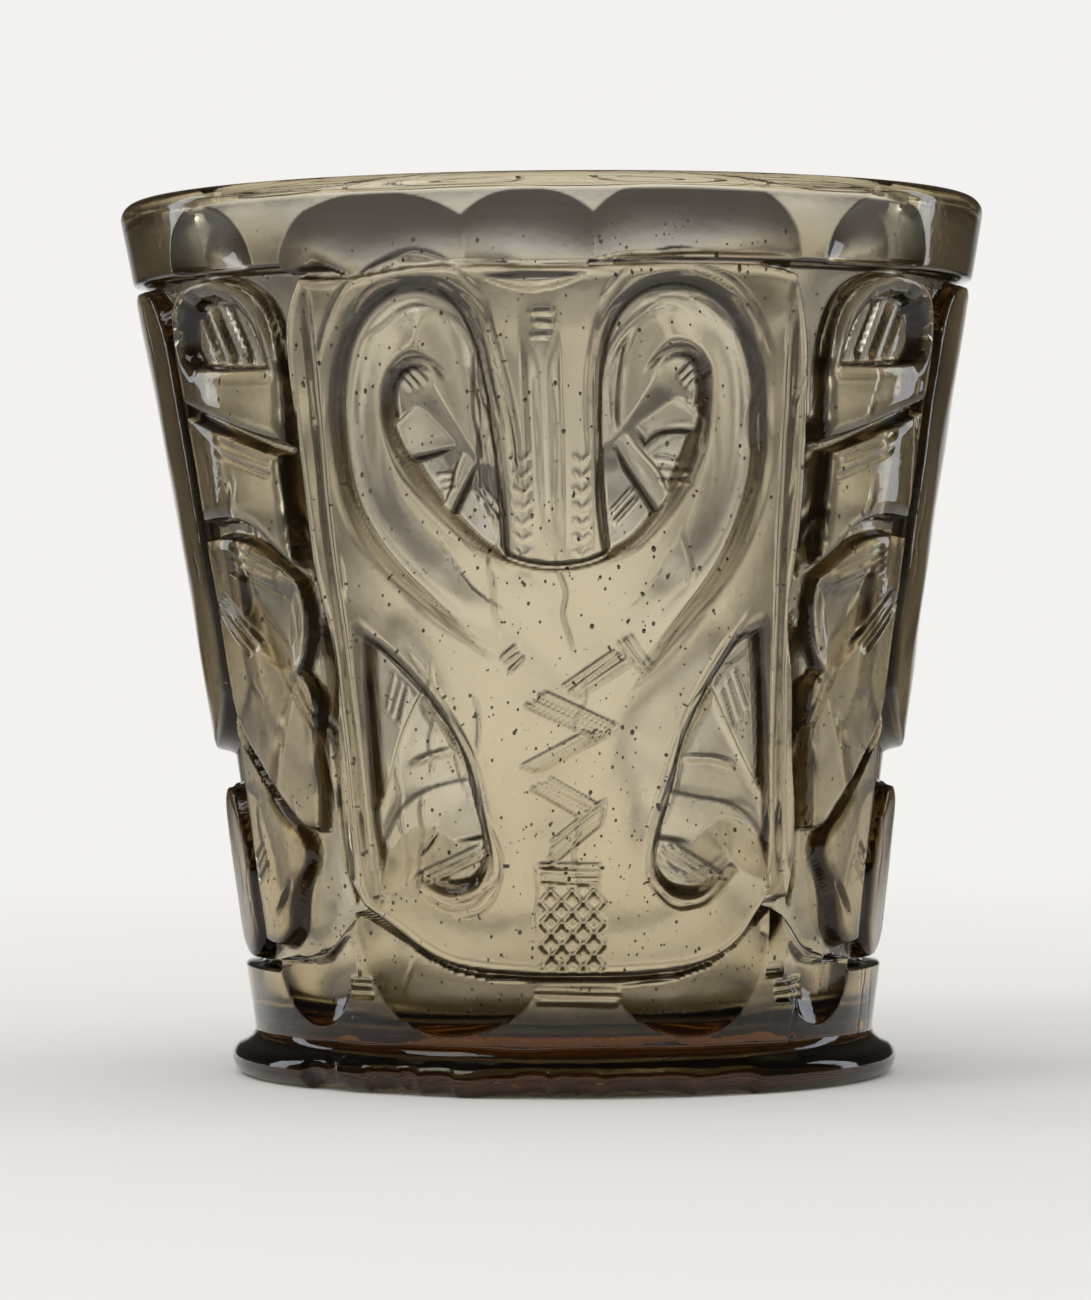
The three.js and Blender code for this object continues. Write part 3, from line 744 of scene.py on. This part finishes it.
def bore_profile():
    slope = math.atan2(BORE_RIM - BORE_FLOOR, LIP_Z - FLOOR_Z)
    fillet = BORE_FLOOR - FLOOR_FILLET * math.tan((math.pi / 2 - slope) / 2)
    top = FLOOR_Z + FLOOR_FILLET
    return [
        *((bore_radius(z), z) for z in np.linspace(LIP_Z - 2, top, 60)),
        *arc(fillet, top, FLOOR_FILLET, -math.degrees(slope), -90, 9),
        *((r, FLOOR_Z) for r in np.linspace(fillet - 3, 4, 8)),
    ]


FLAKES = 34


def chipped(radius, height):
    """Breaks flakes off the front of the foot's lower edge."""
    low = np.clip(1 - height / FOOT_HEIGHT, 0, 1) * (radius > RECESS_RADIUS + 3)
    lost = np.zeros(radius.shape)
    for _ in range(FLAKES):
        centre, half = rng.uniform(-48, 37), rng.uniform(1.2, 5.5)
        turn = (ANGLES - centre) / half
        skew = 1 + 0.5 * turn * rng.uniform(-1, 1)
        flake = np.clip(1 - turn**2, 0, 1) ** 0.6 * skew * rng.uniform(0.4, 1.5)
        lost = np.maximum(lost, flake * np.clip(low * rng.uniform(1.4, 2.4) - 0.5, 0, 1))
    edge = np.clip((radius - RECESS_RADIUS - 6) / 6, 0, 1)
    return radius - lost * edge, height + 0.55 * lost * edge * (height < FOOT_BEAD)


def painted_shade():
    """Painted shade: how dark the base colour is painted, most on the steep walls of the relief, where shade
    falls, and in the cuts marked for it.
    """
    across = np.gradient(depth, np.radians(ANGLES) * SHEET_RADIUS, axis=1)
    up = np.gradient(depth, HEIGHTS, axis=0)
    return np.maximum(ease((np.hypot(across, up) - 0.4) / 1.0), painted_cut_shade)


def glass_points():
    """Radius and height of every row of the closed surface, from the underside round the lip to the floor."""
    around = np.ones(len(ANGLES))
    below, lip, bore = (np.array(part()) for part in (foot_profile, lip_profile, bore_profile))
    foot = chipped(below[:, :1] * around, below[:, 1:] * around)
    fade = ease((LIP_Z - bore[:, 1:]) / 12) * ease((bore[:, 1:] - FLOOR_Z - 1) / 8)
    uneven = BORE_WAVES * waves(bore[:, 1], 12, 14) * fade
    radius = np.concatenate([
        foot[0], wall_radius(HEIGHTS)[:, None] - depth, lip[:, :1] * around, bore[:, :1] * around + uneven,
    ])
    height = np.concatenate([
        foot[1], HEIGHTS[:, None] * around, lip[:, 1:] * around, bore[:, 1:] * around,
    ])
    satin, dark = np.zeros(radius.shape), np.zeros(radius.shape)
    satin[-len(bore) :] = 1
    # The carved wall's points carry the painted shade.
    dark[len(below) : len(below) + len(HEIGHTS)] = painted_shade()
    return radius, height, {"satin": satin, "painted_shade": dark}


BUBBLES = 4500
# The seeds are painted dark as shade.
SEED_FINISH_AND_SHADE = {"satin": 0, "painted_shade": 0.7}
# Colour of the painted shade in the relief.
PAINTED_SHADE_COLOUR = (0.1, 0.075, 0.05, 1)


def bubbles():
    """Seeds in the glass: small round hollows within the wall."""
    ball = bmesh.new()
    bmesh.ops.create_icosphere(ball, subdivisions=1, radius=1)
    points = np.array([v.co for v in ball.verts])
    faces = np.array([[v.index for v in face.verts][::-1] for face in ball.faces])
    ball.free()
    row = rng.integers(10, len(HEIGHTS) - 10, BUBBLES)
    column = rng.integers(0, len(ANGLES), BUBBLES)
    size = np.clip(rng.lognormal(-1.95, 0.45, BUBBLES), 0.08, 0.4)
    outer = wall_radius(HEIGHTS[row]) - depth[row, column] - size - 0.25
    inner = bore_radius(HEIGHTS[row]) + BORE_WAVES * 3 + size + 0.1
    radius = inner + (outer - inner) * rng.uniform(0, 1, BUBBLES)
    angle = np.radians(ANGLES[column])
    centre = np.column_stack([radius * np.sin(angle), -radius * np.cos(angle), HEIGHTS[row]])
    fits = outer > inner
    centre, size = centre[fits], size[fits]
    places = centre[:, None] + size[:, None, None] * points * (1, 1, 1.25)
    first = np.arange(len(size))[:, None, None] * len(points)
    return places.reshape(-1, 3), (faces + first).reshape(-1, 3)


def uneven_stand(points):
    """Leans the whole body and tilts its rim a little."""
    x, y, z = points.T
    leaning = x + LEAN * (0.5 - z / HEIGHT)
    return np.column_stack([leaning, y, z * (1 + TILT * leaning / HEIGHT)])


def glass_mesh():
    radius, height, finish_and_shade = glass_points()
    angle = np.radians(ANGLES)
    skin = np.stack([radius * np.sin(angle), -radius * np.cos(angle), height], axis=-1).reshape(-1, 3)
    rows, columns = radius.shape
    corner = np.arange(rows * columns).reshape(rows, columns)
    right = np.roll(corner, -1, axis=1)
    quads = np.stack([corner[:-1], right[:-1], right[1:], corner[1:]], axis=-1).reshape(-1, 4)
    seeds, seed_faces = bubbles()
    faces = quads.tolist() + [corner[0][::-1].tolist(), corner[-1].tolist()]
    faces += (seed_faces + len(skin)).tolist()
    mesh = bpy.data.meshes.new("glass_body")
    mesh.from_pydata(uneven_stand(np.concatenate([skin, seeds])) * MM, [], faces)
    mesh.polygons.foreach_set("use_smooth", np.ones(len(faces), bool))
    for name, share in finish_and_shade.items():
        values = np.concatenate([share.ravel(), np.full(len(seeds), SEED_FINISH_AND_SHADE[name])])
        mesh.attributes.new(name, "FLOAT", "POINT").data.foreach_set("value", values)
    return mesh


def noise(nodes, links, place, scale, detail):
    texture = nodes.new("ShaderNodeTexNoise")
    texture.inputs["Scale"].default_value = scale
    texture.inputs["Detail"].default_value = detail
    links.new(place, texture.inputs["Vector"])
    return texture.outputs["Fac"]


def mapped(nodes, links, value, low, high):
    scaled = nodes.new("ShaderNodeMapRange")
    scaled.inputs["To Min"].default_value = low
    scaled.inputs["To Max"].default_value = high
    links.new(value, scaled.inputs["Value"])
    return scaled.outputs[0]


def point_share(nodes, name):
    """One of the shares that the mesh carries at each point."""
    share = nodes.new("ShaderNodeAttribute")
    share.attribute_name = name
    return share.outputs["Fac"]


def glass_material():
    """Smoky glass: polished and a little smeared outside, worn to a satin inside."""
    material = bpy.data.materials.new("smoky_glass")
    material.use_nodes = True
    nodes, links = material.node_tree.nodes, material.node_tree.links
    shader = nodes["Principled BSDF"]
    shader.inputs["IOR"].default_value = 1.5
    shader.inputs["Transmission Weight"].default_value = 1
    place = nodes.new("ShaderNodeTexCoord").outputs["Object"]
    polished = mapped(nodes, links, noise(nodes, links, place, 60, 4), 0.015, 0.06)
    worn = mapped(nodes, links, noise(nodes, links, place, 90, 3), 0.17, 0.25)
    # Painted shade: the base colour darkens by the shade share the mesh carries, on steep walls, in marked
    # cuts and on the seeds.
    painted_shade_mix = nodes.new("ShaderNodeMix")
    painted_shade_mix.data_type = "RGBA"
    painted_shade_mix.inputs["A"].default_value = (1, 1, 1, 1)
    painted_shade_mix.inputs["B"].default_value = PAINTED_SHADE_COLOUR
    links.new(point_share(nodes, "painted_shade"), painted_shade_mix.inputs["Factor"])
    links.new(painted_shade_mix.outputs["Result"], shader.inputs["Base Color"])
    roughness = nodes.new("ShaderNodeMix")
    links.new(point_share(nodes, "satin"), roughness.inputs["Factor"])
    links.new(polished, roughness.inputs["A"])
    links.new(worn, roughness.inputs["B"])
    links.new(roughness.outputs["Result"], shader.inputs["Roughness"])
    bump = nodes.new("ShaderNodeBump")
    bump.inputs["Strength"].default_value = 0.12
    bump.inputs["Distance"].default_value = 0.0002
    links.new(noise(nodes, links, place, 420, 2), bump.inputs["Height"])
    links.new(bump.outputs["Normal"], shader.inputs["Normal"])
    absorb = nodes.new("ShaderNodeVolumeAbsorption")
    absorb.inputs["Color"].default_value = (0.69, 0.53, 0.13, 1)
    absorb.inputs["Density"].default_value = 74
    links.new(absorb.outputs["Volume"], nodes["Material Output"].inputs["Volume"])
    return material


beaker = bpy.data.objects.new("glass_beaker", glass_mesh())
bpy.context.scene.collection.objects.link(beaker)
beaker.data.materials.append(glass_material())
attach(beaker, "root")
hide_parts(*frame["nodes"])


# Stage

PALE = (0.9, 0.89, 0.87, 1)
ROOM = (0.055, 0.047, 0.038, 1)
FRONT_LIGHT = 0.25


def backdrop_share(nodes, links, direction):
    """1 where the pale backdrop shows: to the camera all round, through the glass behind it, dim in front."""
    light_path = nodes.new("ShaderNodeLightPath")
    unit = nodes.new("ShaderNodeVectorMath")
    unit.operation = "NORMALIZE"
    links.new(direction, unit.inputs[0])
    axes = nodes.new("ShaderNodeSeparateXYZ")
    links.new(unit.outputs["Vector"], axes.inputs[0])
    level = nodes.new("ShaderNodeMath")
    level.operation = "ABSOLUTE"
    links.new(axes.outputs["Y"], level.inputs[0])
    below = nodes.new("ShaderNodeMath")
    below.operation = "MULTIPLY_ADD"
    below.inputs[1].default_value = -0.35
    links.new(axes.outputs["Z"], below.inputs[0])
    links.new(level.outputs[0], below.inputs[2])
    ahead = nodes.new("ShaderNodeMapRange")
    ahead.interpolation_type = "SMOOTHSTEP"
    ahead.inputs["From Min"].default_value = 0.92
    ahead.inputs["From Max"].default_value = 0.998
    links.new(below.outputs[0], ahead.inputs["Value"])
    side = nodes.new("ShaderNodeMapRange")
    side.inputs["From Min"].default_value = -0.5
    side.inputs["From Max"].default_value = 0.5
    side.inputs["To Min"].default_value = FRONT_LIGHT
    links.new(axes.outputs["Y"], side.inputs["Value"])
    lit = nodes.new("ShaderNodeMath")
    lit.operation = "MULTIPLY"
    links.new(ahead.outputs[0], lit.inputs[0])
    links.new(side.outputs[0], lit.inputs[1])
    share = lit.outputs[0]
    for ray in ("Is Camera Ray", "Is Diffuse Ray"):
        either = nodes.new("ShaderNodeMath")
        either.operation = "MAXIMUM"
        links.new(light_path.outputs[ray], either.inputs[0])
        links.new(share, either.inputs[1])
        share = either.outputs[0]
    return share


def backdrop_colour(nodes, links, direction):
    shade = nodes.new("ShaderNodeMix")
    shade.data_type = "RGBA"
    shade.inputs["A"].default_value = ROOM
    shade.inputs["B"].default_value = PALE
    links.new(backdrop_share(nodes, links, direction), shade.inputs["Factor"])
    return shade.outputs["Result"]


def floor():
    """A pale floor that keeps the shadow near the beaker and runs into the backdrop farther off."""
    bpy.ops.mesh.primitive_plane_add(size=12)
    plane = bpy.context.object
    plane.name = "floor"
    material = bpy.data.materials.new("pale_floor")
    material.use_nodes = True
    nodes, links = material.node_tree.nodes, material.node_tree.links
    shader = nodes["Principled BSDF"]
    shader.inputs["Base Color"].default_value = (0.8, 0.79, 0.77, 1)
    shader.inputs["Roughness"].default_value = 0.9
    shader.inputs["Specular IOR Level"].default_value = 0
    place = nodes.new("ShaderNodeTexCoord")
    length = nodes.new("ShaderNodeVectorMath")
    length.operation = "LENGTH"
    links.new(place.outputs["Object"], length.inputs[0])
    far = nodes.new("ShaderNodeMapRange")
    far.interpolation_type = "SMOOTHSTEP"
    far.inputs["From Min"].default_value = 0.1
    far.inputs["From Max"].default_value = 0.7
    links.new(length.outputs["Value"], far.inputs["Value"])
    glow = nodes.new("ShaderNodeEmission")
    links.new(backdrop_colour(nodes, links, place.outputs["Object"]), glow.inputs["Color"])
    blend = nodes.new("ShaderNodeMixShader")
    links.new(far.outputs[0], blend.inputs[0])
    links.new(shader.outputs[0], blend.inputs[1])
    links.new(glow.outputs[0], blend.inputs[2])
    links.new(blend.outputs[0], nodes["Material Output"].inputs["Surface"])
    plane.data.materials.append(material)


def world():
    sky = bpy.data.worlds.new("studio")
    bpy.context.scene.world = sky
    sky.use_nodes = True
    nodes, links = sky.node_tree.nodes, sky.node_tree.links
    direction = nodes.new("ShaderNodeTexCoord")
    colour = backdrop_colour(nodes, links, direction.outputs["Generated"])
    links.new(colour, nodes["Background"].inputs["Color"])


def lamp(name, place, target, size, power, colour):
    light = bpy.data.lights.new(name, "AREA")
    light.shape = "RECTANGLE"
    light.size, light.size_y = size
    light.energy = power
    light.color = colour
    holder = bpy.data.objects.new(name, light)
    holder.location = place
    holder.rotation_euler = (Vector(target) - Vector(place)).to_track_quat("-Z", "Y").to_euler()
    bpy.context.scene.collection.objects.link(holder)


def camera():
    lens = bpy.data.cameras.new("camera")
    lens.sensor_fit = "VERTICAL"
    lens.sensor_height = 36
    lens.lens = 5253 / 1300 * 36
    lens.shift_x = (545.5 - 558) / 1300
    lens.shift_y = (606 - 650) / 1300
    holder = bpy.data.objects.new("camera", lens)
    holder.location = (0, -0.85, 0.075)
    holder.rotation_euler = (math.pi / 2, 0, 0)
    bpy.context.scene.collection.objects.link(holder)
    bpy.context.scene.camera = holder


floor()
world()
lamp("key", (-0.7, -0.5, 0.9), (0, 0, 0.07), (0.5, 0.5), 2.5, (1, 0.98, 0.95))
lamp("left_edge", (-0.6, 0.25, 0.2), (0, 0, 0.07), (0.12, 0.5), 0.5, (0.85, 0.92, 1))
lamp("right_edge", (0.6, 0.25, 0.2), (0, 0, 0.07), (0.12, 0.5), 0.5, (0.85, 0.92, 1))
camera()
bpy.context.scene.view_settings.view_transform = "Standard"
